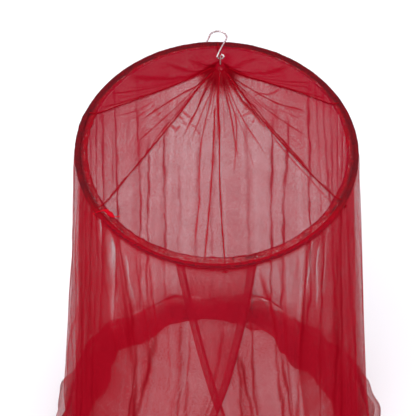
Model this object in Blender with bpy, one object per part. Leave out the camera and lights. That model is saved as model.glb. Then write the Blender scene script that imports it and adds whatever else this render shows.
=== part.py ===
"""Mosquito net canopy: a gathered crown on a hoop, hung from a wire hook, with a wrapped net curtain.

Metres, +Z up. The origin is the hanging point, on the inner face of the hook's crest. The front is -Y. Angles
called azimuth are in degrees round the hoop's axis: 0 at the front, rising to the right, 90 at +X, 180 at the back.
Heights called drop are measured down from the hoop's plane.
"""

import math

import bmesh
import bpy
from mathutils import Vector

# Overall
HOOP_BELOW_HANG = 0.372  # hanging point down to the hoop's plane
HOOP_ABOVE_FLOOR = 1.380
CLOTH = 0.0012  # thickness of every sheet of net
SEAT_GAP = 0.0003  # between pieces that touch

# Hoop and its casing
HOOP_RADIUS = 0.2935  # to the middle of the tube
TUBE_RADIUS = 0.0045
CASING_CLEAR = 0.0005  # round the tube
HOOP_STEPS = 60
SEAM_STRIP = 0.015  # flat strip of the casing, on the hoop's inner side
STRIP_RISE = 12.0  # degrees that it rises inwards
CASING_ANGLES = (135, 90, 45, 0, -45, -90, -135, -185)  # round the tube, from its upper inner side

# Crown
APEX_X = 0.005  # the gathered apex hangs a little to the right of the axis
CROWN_TOP = 0.268  # gores' upper edge above the hoop's plane
CROWN_TOP_RADIUS = 0.0085
CROWN_FOOT_GAP = 0.0009  # between the gores and the casing's strip
SEAM_HALF_GAP = 0.00035
GORE_COLUMNS = 10
GORE_ROWS = (0.0, 0.035, 0.09, 0.17, 0.30, 0.48, 0.72, 1.0)  # along the slope, from the apex
GORE_SAG = 0.013  # how far the net sinks between two cords
PLEAT_DEPTH = 0.0035  # of the gathers under the apex

# Cords and knots
CORD_RADIUS = 0.001
CORD_CLEAR = 0.0005  # over the net
KNOT_SIZE = (0.0050, 0.0036, 0.0034)  # half sizes along the hoop, outwards, up
KNOT_REACH = 0.0030  # from the casing's face to the knot's middle, less than its half size as it is faceted
SEAMS = (3.5, 62.6, 115.0, 180.0, 252.0, 303.0)  # azimuth of each seam and its cord

# Neck, ring and hook
NECK_PROFILE = (
    (0.0, -0.0040),
    (0.0060, -0.0036),
    (0.00775, -0.0008),
    (0.0077, 0.0006),
    (0.0092, 0.0018),
    (0.0080, 0.0040),
    (0.0068, 0.0058),
    (0.0074, 0.0078),
    (0.0040, 0.0094),
    (0.0, 0.0097),
)  # radius, height above the crown's upper edge: its foot sits inside the gores' tips
RING_RADIUS = 0.0090
RING_WIRE = 0.0011
HOOK_WIRE = 0.0018
EYE_RADIUS = 0.0062  # of the hook's lower eye, to the wire's middle
ARCH_RADIUS = 0.0168  # of the hook's upper arch, to the wire's middle
EYE_END_TURN = 250  # degrees that the eye's wire turns
ARCH_END = (-0.0215, -0.0285)  # x and z of the tip below the arch, from the hanging point
SHANK_BEND = (0.0035, -0.0560)  # x and z where the shank leaves the eye

# Curtain
EDGE_AZIMUTH = 16.0  # each free edge starts this far past the front's middle
EDGE_LEAN = 44.0  # degrees that each free edge swings back by the floor
LEAN_REACH = 95.0  # degrees from the edge over which the swing fades
WRAP_GAP_TOP = 0.0022  # between the overlapped layers, at the hoop
WRAP_GAP = 0.007  # and lower down
WRAP_REACH = 62.0  # degrees over which the outer layer moves out
CURTAIN_TOP = 0.0062  # top edge under the hoop's plane
CURTAIN_TOP_RADIUS = 0.2977
FLARE = 0.112  # the wall's outward slope
WALL_DROPS = (CURTAIN_TOP, 0.045, 0.16, 0.42, 0.78, 1.12, 1.30)
FOLD_FADE_IN = 0.15  # drop by which the folds are full

# Surplus length on the floor, from the top layer down: radius and height of each bend's two ends
PILE_SECTION = (
    (0.4580, 0.0420),
    (0.4760, 0.0270),
    (0.3800, 0.0250),
    (0.3740, 0.0190),
    (0.4800, 0.0190),
    (0.4840, 0.0128),
    (0.3780, 0.0128),
    (0.3720, 0.0067),
    (0.4700, 0.0067),
    (0.4750, 0.0006),
    (0.3860, 0.0006),
)
PILE_WAVES = ((5, 0.0045, 40.0), (9, 0.0030, 110.0), (14, 0.0018, 10.0))  # waves round, depth, phase
PILE_LIFT = 0.25  # how uneven the pile's height is

# One row per fold of the wall: azimuth at the hoop, its drift by the floor, depth in mm (outwards is
# positive), width in degrees
FOLDS = (
    ("azimuth", "drift", "depth", "width"),
    (4, 0, 4, 6),
    (14, 2, 6, 5),
    (25, 3, 9, 6),
    (40, 0, -8, 8),
    (55, -3, 11, 7),
    (67, 0, 12, 7),
    (78, 2, 10, 6),
    (89, 0, 13, 7),
    (100, -2, 11, 6),
    (110, 0, 12, 6),
    (123, 1, -9, 6),
    (130, 0, 9, 5),
    (139, -2, -10, 6),
    (151, 1, 11, 5),
    (157, 1, -7, 5),
    (170, 0, 6, 8),
    (184, -1, -10, 6),
    (190, 0, 7, 4),
    (204, 1, 9, 6),
    (213, 2, -10, 7),
    (228, -1, 10, 7),
    (238, 0, 12, 7),
    (249, 1, 11, 6),
    (260, -1, 12, 7),
    (271, 0, 13, 6),
    (282, 2, 10, 6),
    (293, 0, 12, 7),
    (304, -1, 9, 6),
    (313, 2, 10, 6),
    (322, 3, -7, 6),
    (336, 4, 8, 7),
    (349, 3, 4, 6),
    (362, 2, 4, 6),
)

HOOP_Z = -HOOP_BELOW_HANG
FLOOR_Z = HOOP_Z - HOOP_ABOVE_FLOOR
CASING_RADIUS = TUBE_RADIUS + CASING_CLEAR + CLOTH / 2
SLOPE = math.atan2(CROWN_TOP, HOOP_RADIUS - CROWN_TOP_RADIUS)


def plain_material(name, colour, roughness, metallic=0.0):
    """One Principled material."""
    material = bpy.data.materials.new(name)
    material.use_nodes = True
    shader = material.node_tree.nodes["Principled BSDF"]
    shader.inputs["Base Color"].default_value = (*colour, 1)
    shader.inputs["Roughness"].default_value = roughness
    shader.inputs["Metallic"].default_value = metallic
    return material


def smooth_step(value):
    """0 below 0, 1 above 1, smooth between."""
    t = min(max(value, 0.0), 1.0)
    return t * t * (3 - 2 * t)


def around(azimuth, radius, z, centre_x=0.0):
    """The point at an azimuth and radius round the hoop's axis."""
    a = math.radians(azimuth)
    return Vector((centre_x + radius * math.sin(a), -radius * math.cos(a), z))


def add_object(name, data, material):
    """Links an object that holds this mesh or curve."""
    data.materials.append(material)
    obj = bpy.data.objects.new(name, data)
    bpy.context.scene.collection.objects.link(obj)
    return obj


def add_bmesh(name, bm, material):
    """Turns a bmesh into a smooth-shaded object."""
    mesh = bpy.data.meshes.new(name)
    bm.to_mesh(mesh)
    bm.free()
    mesh.shade_smooth()
    mesh.set_sharp_from_angle(angle=math.radians(50))
    return add_object(name, mesh, material)


def add_cloth(name, rows, material, closed=False):
    """A sheet through rows of points, given the cloth's thickness."""
    bm = bmesh.new()
    grid = [[bm.verts.new(point) for point in row] for row in rows]
    columns = len(rows[0])
    for upper, lower in zip(grid, grid[1:]):
        for i in range(columns if closed else columns - 1):
            j = (i + 1) % columns
            bm.faces.new((upper[i], lower[i], lower[j], upper[j]))
    sheet = add_bmesh(name, bm, material)
    solidify = sheet.modifiers.new("cloth", "SOLIDIFY")
    solidify.thickness = CLOTH
    solidify.offset = 0
    return sheet


def add_wire(name, points, radius, material, closed=False):
    """A round wire or cord through points."""
    curve = bpy.data.curves.new(name, "CURVE")
    curve.dimensions = "3D"
    curve.bevel_depth = radius
    curve.bevel_resolution = 2
    curve.use_fill_caps = not closed
    spline = curve.splines.new("POLY")
    spline.points.add(len(points) - 1)
    for spot, point in zip(spline.points, points):
        spot.co = (*point, 1)
    spline.use_cyclic_u = closed
    spline.use_smooth = True
    return add_object(name, curve, material)


# Hook, ring and neck

NECK_Z = HOOP_Z + CROWN_TOP
RING_Z = NECK_Z + NECK_PROFILE[-1][1] + SEAT_GAP + RING_WIRE + RING_RADIUS
EYE_Z = RING_Z + RING_RADIUS - RING_WIRE - SEAT_GAP - HOOK_WIRE + EYE_RADIUS


def arc_points(centre_x, centre_z, radius, start, end, step=18):
    """Points on an arc in the XZ plane; angles in degrees from +X, turning towards +Z."""
    count = max(2, round(abs(end - start) / step))
    angles = (math.radians(start + (end - start) * i / count) for i in range(count + 1))
    return [Vector((centre_x + radius * math.cos(a), 0, centre_z + radius * math.sin(a))) for a in angles]


def add_hook(material):
    """The S-hook: lower eye, leaning shank and open upper arch."""
    eye = arc_points(APEX_X, EYE_Z, EYE_RADIUS, 180 + EYE_END_TURN, 180)
    arch = arc_points(0, HOOK_WIRE - ARCH_RADIUS, ARCH_RADIUS, -12, 176)
    shank = Vector((SHANK_BEND[0], 0, SHANK_BEND[1]))
    tip = Vector((ARCH_END[0], 0, ARCH_END[1]))
    return add_wire("hook", [*eye, shank, *arch, tip], HOOK_WIRE, material)


def add_apex_ring(material):
    """The steel ring, standing front to back in the hook's eye."""
    bpy.ops.mesh.primitive_torus_add(
        location=(APEX_X, 0, RING_Z),
        rotation=(0, math.radians(90), 0),
        major_radius=RING_RADIUS,
        minor_radius=RING_WIRE,
        major_segments=24,
        minor_segments=8,
    )
    ring = bpy.context.object
    ring.name = "apex_ring"
    ring.data.shade_smooth()
    ring.data.materials.append(material)
    return ring


def add_neck(material):
    """The bound tuft under the ring, turned from its profile."""
    bm = bmesh.new()
    profile = [bm.verts.new((radius, 0, height)) for radius, height in NECK_PROFILE]
    for lower, upper in zip(profile, profile[1:]):
        bm.edges.new((lower, upper))
    bmesh.ops.spin(
        bm,
        geom=bm.verts[:] + bm.edges[:],
        cent=(0, 0, 0),
        axis=(0, 0, 1),
        angle=math.tau,
        steps=16,
        use_merge=True,
    )
    bmesh.ops.remove_doubles(bm, verts=bm.verts, dist=1e-5)
    bmesh.ops.recalc_face_normals(bm, faces=bm.faces)
    neck = add_bmesh("neck", bm, material)
    neck.location = (APEX_X, 0, NECK_Z)
    return neck


# Hoop and casing


def add_hoop(material):
    """The round tube that spreads the net."""
    bpy.ops.mesh.primitive_torus_add(
        location=(0, 0, HOOP_Z),
        major_radius=HOOP_RADIUS,
        minor_radius=TUBE_RADIUS,
        major_segments=HOOP_STEPS,
        minor_segments=8,
    )
    hoop = bpy.context.object
    hoop.name = "hoop"
    hoop.data.shade_smooth()
    hoop.data.materials.append(material)
    return hoop


def strip_top():
    """Radius and height, over the hoop's plane, of the casing strip's inner edge."""
    lift, rise = math.radians(CASING_ANGLES[0]), math.radians(STRIP_RISE)
    return (
        HOOP_RADIUS + CASING_RADIUS * math.cos(lift) - SEAM_STRIP * math.cos(rise),
        CASING_RADIUS * math.sin(lift) + SEAM_STRIP * math.sin(rise),
    )


def add_casing(material):
    """The sleeve round the tube, open along its inner side, and its flat strip where the crown is sewn on."""
    profile = [strip_top()]
    for angle in CASING_ANGLES:
        a = math.radians(angle)
        profile.append((HOOP_RADIUS + CASING_RADIUS * math.cos(a), CASING_RADIUS * math.sin(a)))
    azimuths = [360 * i / HOOP_STEPS for i in range(HOOP_STEPS)]
    rows = [[around(azimuth, radius, HOOP_Z + z) for azimuth in azimuths] for radius, z in profile]
    return add_cloth("casing", rows, material, closed=True)


# Crown


def crown_line(share):
    """Radius, height over the hoop's plane and apex share at a place along the slope, 0 at the apex."""
    foot_radius, foot_z = strip_top()
    foot_radius -= CROWN_FOOT_GAP * math.cos(SLOPE)
    foot_z += CROWN_FOOT_GAP * math.sin(SLOPE)
    radius = CROWN_TOP_RADIUS + (foot_radius - CROWN_TOP_RADIUS) * share
    return radius, CROWN_TOP + (foot_z - CROWN_TOP) * share


def crown_point(azimuth, share, inward):
    """A point of the crown, moved inwards along the slope's normal."""
    radius, z = crown_line(share)
    centre_x = APEX_X * (1 - share)
    normal_out, normal_up = math.sin(SLOPE), math.cos(SLOPE)
    return around(azimuth, radius - inward * normal_out, HOOP_Z + z - inward * normal_up, centre_x)


def add_gore(number, start, end, material):
    """One gore of net between two seams, pleated under the apex and sunk between its cords."""
    rows = []
    for share in GORE_ROWS:
        radius = crown_line(share)[0]
        margin = math.degrees(SEAM_HALF_GAP / radius)
        gather = PLEAT_DEPTH * smooth_step(share / 0.12) * (1 - smooth_step((share - 0.12) / 0.5))
        row = []
        for i in range(GORE_COLUMNS + 1):
            across = i / GORE_COLUMNS
            azimuth = start + margin + (end - start - 2 * margin) * across
            sag = GORE_SAG * math.sin(math.pi * across) * math.sin(math.pi * share ** 0.7)
            pleat = gather * (0 if i in (0, GORE_COLUMNS) else (-1) ** i)
            row.append(crown_point(azimuth, share, sag + pleat))
        rows.append(row)
    return add_cloth(f"crown_gore_{number}", rows, material)


# Cords and knots


def cord_route(azimuth):
    """From the neck down the seam, over the casing and round its outer side."""
    over_net = -(CLOTH / 2 + CORD_CLEAR + CORD_RADIUS)
    route = [crown_point(azimuth, share, over_net) for share in (0.03, 0.2, 0.4, 0.6, 0.8, 0.97)]
    wrap = CASING_RADIUS + CLOTH / 2 + CORD_CLEAR + CORD_RADIUS
    for angle in (105, 75, 45, 14):
        a = math.radians(angle)
        route.append(around(azimuth, HOOP_RADIUS + wrap * math.cos(a), HOOP_Z + wrap * math.sin(a)))
    return route


def add_knot(number, azimuth, material):
    """The knot at a cord's end, on the casing's outer side."""
    reach = CASING_RADIUS + CLOTH / 2 + KNOT_REACH
    bm = bmesh.new()
    bmesh.ops.create_icosphere(bm, subdivisions=1, radius=1)
    bmesh.ops.scale(bm, vec=KNOT_SIZE, verts=bm.verts)
    knot = add_bmesh(f"knot_{number}", bm, material)
    knot.location = around(azimuth, HOOP_RADIUS + reach, HOOP_Z - 0.0022)
    knot.rotation_euler = (0, 0, math.radians(azimuth))
    return knot


# Curtain


def fold_columns():
    """The azimuths of the curtain's columns: three to a fold, and the two free edges."""
    start, end = -EDGE_AZIMUTH, 360 + EDGE_AZIMUTH
    columns = [start, start + 4, end - 4, end]
    for azimuth, _, _, width in FOLDS[1:]:
        columns += [azimuth - width / 2, azimuth, azimuth + width / 2]
    return sorted(columns)


def fold_depth(azimuth, drop):
    """How far the folds move the wall outwards here, and how far they drift sideways."""
    outward, drift = 0.0, 0.0
    fall = smooth_step((drop - CURTAIN_TOP) / FOLD_FADE_IN)
    for centre, fold_drift, depth, width in FOLDS[1:]:
        near = max(0.0, 1 - abs(azimuth - centre) / (width / 2))
        outward += near * depth / 1000 * fall
        drift += near * fold_drift * drop / HOOP_ABOVE_FLOOR
    return outward, drift


def edge_swing(azimuth, drop):
    """Degrees that the free edges pull the wall towards and past the front's middle."""
    from_start = max(0.0, 1 - (azimuth + EDGE_AZIMUTH) / LEAN_REACH)
    from_end = max(0.0, 1 - (360 + EDGE_AZIMUTH - azimuth) / LEAN_REACH)
    return EDGE_LEAN * (from_start - from_end) * drop / HOOP_ABOVE_FLOOR


def wrap_offset(azimuth, drop):
    """How far the outer of the two overlapped layers stands off."""
    share = smooth_step(1 - (360 + EDGE_AZIMUTH - azimuth) / WRAP_REACH)
    lower = smooth_step((drop - CURTAIN_TOP) / 0.12)
    return share * (WRAP_GAP_TOP + (WRAP_GAP - WRAP_GAP_TOP) * lower)


def wall_point(azimuth, drop):
    """A point of the hanging wall."""
    outward, drift = fold_depth(azimuth, drop)
    radius = CURTAIN_TOP_RADIUS + FLARE * (drop - CURTAIN_TOP) + outward + wrap_offset(azimuth, drop)
    return around(azimuth + drift + edge_swing(azimuth, drop), radius, HOOP_Z - drop)


def pile_point(azimuth, layer):
    """A point of the surplus length that lies folded on the floor."""
    radius, height = PILE_SECTION[layer]
    wave = sum(
        depth * math.sin(math.radians(count * azimuth + phase + 50 * layer)) for count, depth, phase in PILE_WAVES
    )
    lift = 1 + PILE_LIFT * math.sin(math.radians(3 * azimuth + 60)) * math.sin(math.radians(7 * azimuth))
    lowest = PILE_SECTION[-1][1]
    z = FLOOR_Z + lowest + (height - lowest) * lift
    swing = edge_swing(azimuth, HOOP_ABOVE_FLOOR)
    return around(azimuth + swing, radius + wave + wrap_offset(azimuth, 1), z)


def add_curtain(material):
    """The curtain, from its top edge under the casing to its hem under the pile."""
    columns = fold_columns()
    rows = [[wall_point(azimuth, drop) for azimuth in columns] for drop in WALL_DROPS]
    for layer in range(len(PILE_SECTION)):
        rows.append([pile_point(azimuth, layer) for azimuth in columns])
    return add_cloth("curtain", rows, material)


def main():
    """Builds the whole canopy."""
    for obj in list(bpy.data.objects):
        bpy.data.objects.remove(obj)
    steel = plain_material("hook_steel", (0.72, 0.70, 0.70), 0.2, 1.0)
    net = plain_material("net", (0.45, 0.010, 0.020), 0.7)
    casing_cloth = plain_material("casing_cloth", (0.33, 0.008, 0.016), 0.7)
    tube = plain_material("hoop_tube", (0.16, 0.006, 0.012), 0.45)
    cord = plain_material("cord", (0.20, 0.004, 0.010), 0.65)
    add_hook(steel)
    add_apex_ring(steel)
    add_neck(net)
    add_hoop(tube)
    add_casing(casing_cloth)
    ends = [*SEAMS[1:], SEAMS[0] + 360]
    for number, (start, end) in enumerate(zip(SEAMS, ends), 1):
        add_gore(number, start, end, net)
        add_wire(f"cord_{number}", cord_route(start), CORD_RADIUS, cord)
        add_knot(number, start, cord)
    add_curtain(net)


main()
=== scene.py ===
import math
import random

import bpy
import numpy as np
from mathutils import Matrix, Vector


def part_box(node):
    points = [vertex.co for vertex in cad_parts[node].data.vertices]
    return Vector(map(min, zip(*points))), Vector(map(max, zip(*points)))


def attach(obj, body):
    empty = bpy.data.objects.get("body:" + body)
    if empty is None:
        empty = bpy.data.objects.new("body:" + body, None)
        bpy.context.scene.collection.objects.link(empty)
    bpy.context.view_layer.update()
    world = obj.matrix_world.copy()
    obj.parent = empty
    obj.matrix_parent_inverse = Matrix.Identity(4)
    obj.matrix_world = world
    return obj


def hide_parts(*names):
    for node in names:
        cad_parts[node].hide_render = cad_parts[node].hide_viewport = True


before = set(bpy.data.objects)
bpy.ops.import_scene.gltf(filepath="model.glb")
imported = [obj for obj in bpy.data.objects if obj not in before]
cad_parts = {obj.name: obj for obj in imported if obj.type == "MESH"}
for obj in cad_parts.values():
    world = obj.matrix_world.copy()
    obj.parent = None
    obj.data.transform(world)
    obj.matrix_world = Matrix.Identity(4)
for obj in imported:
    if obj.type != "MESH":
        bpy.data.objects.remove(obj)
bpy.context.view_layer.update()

# the frame's own sizes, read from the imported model

hoopLow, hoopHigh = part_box("hoop")
curtainLow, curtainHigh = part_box("curtain")
neckLow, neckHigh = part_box("neck")
ringLow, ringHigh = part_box("apex_ring")
hookLow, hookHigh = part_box("hook")

place = {
    "hoopZ": (hoopLow[2] + hoopHigh[2]) / 2,
    "tubeRadius": (hoopHigh[2] - hoopLow[2]) / 2,
    "floorZ": curtainLow[2],
    "neckZ": neckLow[2] + 0.004,  # the crown's upper edge: the neck's foot sits 4 mm inside it
    "apexX": (neckLow[0] + neckHigh[0]) / 2,
}
place["hoopRadius"] = hoopHigh[0] - place["tubeRadius"]
place["fall"] = place["hoopZ"] - place["floorZ"]


def around(azimuth, radius, z, centreX=0.0):
    # azimuth in degrees: 0 at the front, 90 at the right
    a = np.radians(azimuth)
    return np.stack([centreX + radius * np.sin(a), -radius * np.cos(a), z + 0 * a], axis=-1)


def smoothStep(value):
    t = np.clip(value, 0.0, 1.0)
    return t * t * (3 - 2 * t)


def ramp(value, start, width):
    # 0 up to start, 1 from start + width on, smooth between them
    return smoothStep((value - start) / width)


def bell(offset, reach):
    return np.exp(-((offset / reach) ** 2))


def wave(degrees):
    return np.sin(np.radians(degrees))


def turnFrom(azimuth, middle):
    # signed degrees from the middle, -180 to 180
    return np.mod(azimuth - middle + 180, 360) - 180


def readTable(rows, at):
    # the later columns of a table, each read at places along its first one
    first, *others = np.array(rows, dtype=float).T
    return [np.interp(at, first, column) for column in others]


def deselectAll():
    if bpy.context.object and bpy.context.object.mode != "OBJECT":
        bpy.ops.object.mode_set(mode="OBJECT")
    bpy.ops.object.select_all(action="DESELECT")


# camera

view = {
    "distance": 3.0,  # from the hoop's centre
    "elevation": 53.13,
    "focalPixels": 1412.0,
    "framePixels": 416.0,
    "hoopAt": (216.5, 149.0),  # pixel of the hoop's centre
    "sensor": 36.0,
}


def addCamera():
    lift = math.radians(view["elevation"])
    toHoop = Vector((0, math.cos(lift), -math.sin(lift)))
    upwards = Vector((0, math.sin(lift), math.cos(lift)))
    half = view["framePixels"] / 2
    aside = (view["hoopAt"][0] - half) / view["focalPixels"]
    above = (half - view["hoopAt"][1]) / view["focalPixels"]
    look = (toHoop - Vector((1, 0, 0)) * aside - upwards * above).normalized()
    deselectAll()
    hoopCentre = Vector((0, 0, place["hoopZ"]))
    bpy.ops.object.camera_add(location=hoopCentre - toHoop * view["distance"])
    camera = bpy.context.object
    camera.name = "camera"
    camera.rotation_euler = look.to_track_quat("-Z", "Y").to_euler()
    camera.data.sensor_width = view["sensor"]
    camera.data.lens = view["focalPixels"] / view["framePixels"] * view["sensor"]
    camera.data.clip_end = 60
    bpy.context.scene.camera = camera


addCamera()
print("camera placed")

# floor, light and colour management

studio = {
    "floorSize": 14.0,
    "floorTone": (0.9, 0.9, 0.945),
    "skyStrength": 0.88,
    "keyPower": 170.0,
    "keySize": 4.5,
    "keyAt": (-1.2, -2.6, 3.4),
    "fillPower": 90.0,
    "fillSize": 5.0,
    "fillAt": (3.2, 1.8, 2.6),
    "aim": (0, 0, -0.8),
}


def aimAt(obj, target):
    obj.rotation_euler = (Vector(target) - obj.location).to_track_quat("-Z", "Y").to_euler()


def addAreaLight(name, at, size, power):
    deselectAll()
    bpy.ops.object.light_add(type="AREA", location=at)
    lamp = bpy.context.object
    lamp.name = name
    lamp.data.size = size
    lamp.data.energy = power
    aimAt(lamp, studio["aim"])


def addStudio():
    deselectAll()
    bpy.ops.mesh.primitive_plane_add(size=studio["floorSize"], location=(0, 0, place["floorZ"] - 0.0005))
    floor = bpy.context.object
    floor.name = "floorPlane"
    material = bpy.data.materials.new("paleFloor")
    material.use_nodes = True
    shader = material.node_tree.nodes["Principled BSDF"]
    shader.inputs["Base Color"].default_value = (*studio["floorTone"], 1)
    shader.inputs["Roughness"].default_value = 0.9
    floor.data.materials.append(material)
    addAreaLight("keyLight", studio["keyAt"], studio["keySize"], studio["keyPower"])
    addAreaLight("fillLight", studio["fillAt"], studio["fillSize"], studio["fillPower"])
    world = bpy.data.worlds.new("studioSky")
    bpy.context.scene.world = world
    world.use_nodes = True
    sky = world.node_tree.nodes["Background"]
    sky.inputs["Color"].default_value = (1, 1, 1, 1)
    sky.inputs["Strength"].default_value = studio["skyStrength"]
    scene = bpy.context.scene
    scene.view_settings.view_transform = "Standard"
    scene.view_settings.look = "None"
    scene.cycles.transparent_max_bounces = 40  # a line of sight crosses many layers of net


addStudio()
print("studio placed")

# materials


def connect(tree, source, socket):
    # a socket is linked, a plain value is set
    if isinstance(source, bpy.types.NodeSocket):
        tree.links.new(source, socket)
    else:
        socket.default_value = source


def addNode(tree, kind, inputs=None, **settings):
    node = tree.nodes.new(kind)
    for name, value in settings.items():
        setattr(node, name, value)
    for name, source in (inputs or {}).items():
        connect(tree, source, node.inputs[name])
    return node.outputs


def addMath(tree, operation, first, second, clamp=False):
    node = tree.nodes.new("ShaderNodeMath")
    node.operation = operation
    node.use_clamp = clamp
    connect(tree, first, node.inputs[0])
    connect(tree, second, node.inputs[1])
    return node.outputs[0]


def addRange(tree, value, fromLow, fromHigh, toLow=0.0, toHigh=1.0, kind="LINEAR"):
    ends = {"Value": value, "From Min": fromLow, "From Max": fromHigh, "To Min": toLow, "To Max": toHigh}
    return addNode(tree, "ShaderNodeMapRange", ends, interpolation_type=kind)["Result"]


def addMix(tree, factor, first, second):
    inputs = {"Factor": factor, "A": first, "B": second}
    return addNode(tree, "ShaderNodeMix", inputs, data_type="RGBA")["Result"]


def addBump(tree, height, strength, distance):
    inputs = {"Strength": strength, "Distance": distance, "Height": height}
    return addNode(tree, "ShaderNodeBump", inputs)["Normal"]


def addNoise(tree, scale, where=None, **more):
    # in the object's own coordinates unless others are given
    where = where or addNode(tree, "ShaderNodeTexCoord")["Object"]
    inputs = {"Vector": where, "Scale": scale, **more}
    return addNode(tree, "ShaderNodeTexNoise", inputs)["Fac"]


def newGroup(name, inputs, outputs):
    # inputs: name and usual value, or None for a colour; outputs: name and kind
    tree = bpy.data.node_groups.new(name, "ShaderNodeTree")
    for label, value in inputs:
        kind = "NodeSocketColor" if value is None else "NodeSocketFloat"
        socket = tree.interface.new_socket(label, in_out="INPUT", socket_type=kind)
        if value is not None:
            socket.default_value = value
    for label, kind in outputs:
        tree.interface.new_socket(label, in_out="OUTPUT", socket_type=kind)
    return tree, addNode(tree, "NodeGroupInput"), tree.nodes.new("NodeGroupOutput").inputs


def newMaterial(name):
    material = bpy.data.materials.new(name)
    material.use_nodes = True
    return material, material.node_tree, material.node_tree.nodes["Principled BSDF"].inputs


def makeThreadsGroup():
    # the fine net: a mask of threads and holes from the cloth's own UV, in metres
    inputs = [("Pitch", 0.0016), ("Open", 0.3), ("Closed", 0.6), ("Grain", 0.4)]
    outputs = [("Cover", "NodeSocketFloat"), ("Height", "NodeSocketFloat")]
    tree, given, result = newGroup("netThreads", inputs, outputs)
    uv = addNode(tree, "ShaderNodeUVMap", uv_map="UVMap")["UV"]
    scale = addMath(tree, "DIVIDE", 1.0, given["Pitch"])
    mesh = {"Randomness": 0.25, "Vector": uv, "Scale": scale}
    distance = addNode(tree, "ShaderNodeTexVoronoi", mesh, feature="DISTANCE_TO_EDGE")["Distance"]
    thread = addRange(tree, distance, 0.06, 0.22, given["Closed"], given["Open"], "SMOOTHSTEP")
    # the threads lie closer here and there, which gives the cloth its grain
    noise = addNoise(tree, 260.0, uv, Detail=3, Roughness=0.7)
    least, most = (addMath(tree, sense, 1.0, given["Grain"]) for sense in ("SUBTRACT", "ADD"))
    uneven = addRange(tree, noise, 0.3, 0.7, least, most)
    tree.links.new(addMath(tree, "MULTIPLY", thread, uneven, clamp=True), result["Cover"])
    tree.links.new(addRange(tree, distance, 0.0, 0.2, 1.0, 0.0), result["Height"])
    return tree


def makeDyeGroup():
    # slow unevenness of the dye and of the cloth's density
    inputs = [("Scale", 6.0), ("Dark", None), ("Light", None)]
    outputs = [("Color", "NodeSocketColor"), ("Value", "NodeSocketFloat")]
    tree, given, result = newGroup("unevenDye", inputs, outputs)
    noise = addNoise(tree, given["Scale"], Detail=3, Roughness=0.6)
    tree.links.new(addMix(tree, noise, given["Dark"], given["Light"]), result["Color"])
    tree.links.new(noise, result["Value"])
    return tree


netThreads = makeThreadsGroup()
unevenDye = makeDyeGroup()

netLooks = {
    # single: dye of one layer, dark and light; the glow tone: a painted glow, the lighter red where light
    # comes through gathered layers; many and deep: tones of gathered layers and of the most layers, darker as
    # more net is gathered, partly the deeper red of stacked net and partly painted shade between the layers;
    # thin and dense: cover of the holes; closed: cover of the threads; pitch of the mesh in metres; slant:
    # least slant at which the threads close up further
    "wallNet": {
        "single": ((0.31, 0.005, 0.015), (0.38, 0.0075, 0.021)),
        "paintedGlow": (0.42, 0.008, 0.015), "many": (0.26, 0.0024, 0.009), "deep": (0.2, 0.0012, 0.006),
        "thin": 0.2, "dense": 0.28, "closed": 0.63, "pitch": 0.0016, "grain": 0.45, "slant": 0.42,
    },
    "crownNet": {
        "single": ((0.28, 0.0033, 0.014), (0.34, 0.0055, 0.021)),
        "paintedGlow": (0.42, 0.005, 0.015), "many": (0.27, 0.0018, 0.0085), "deep": (0.2, 0.001, 0.005),
        "thin": 0.3, "dense": 0.37, "closed": 0.63, "pitch": 0.0016, "grain": 0.32, "slant": 0.25,
    },
    "casingNet": {
        "single": ((0.25, 0.0028, 0.012), (0.34, 0.0045, 0.018)),
        "paintedGlow": (0.33, 0.0025, 0.01), "many": (0.24, 0.004, 0.0085), "deep": (0.092, 0.0085, 0.012),
        "thin": 0.22, "dense": 0.5, "closed": 0.74, "pitch": 0.0034, "grain": 0.85, "slant": 0.3,
    },
    "tuftNet": {
        "single": ((0.2, 0.0015, 0.006), (0.32, 0.003, 0.014)),
        "paintedGlow": (0.36, 0.003, 0.012), "many": (0.2, 0.0015, 0.006), "deep": (0.16, 0.0012, 0.005),
        "thin": 0.85, "dense": 0.95, "closed": 1.0, "pitch": 0.0016, "grain": 0.3, "slant": 0.3,
    },
}
netScales = {"dye": 5.0, "clouds": 11.0}  # patches to a metre, roughly
netLayers = (1.0, 3.6, 6.0)  # widths of net in one: single, many, deep


def addDye(tree, scale, dark, light):
    colours = {"Scale": scale, "Dark": (*dark, 1), "Light": (*light, 1)}
    return addNode(tree, "ShaderNodeGroup", colours, node_tree=unevenDye)


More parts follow.
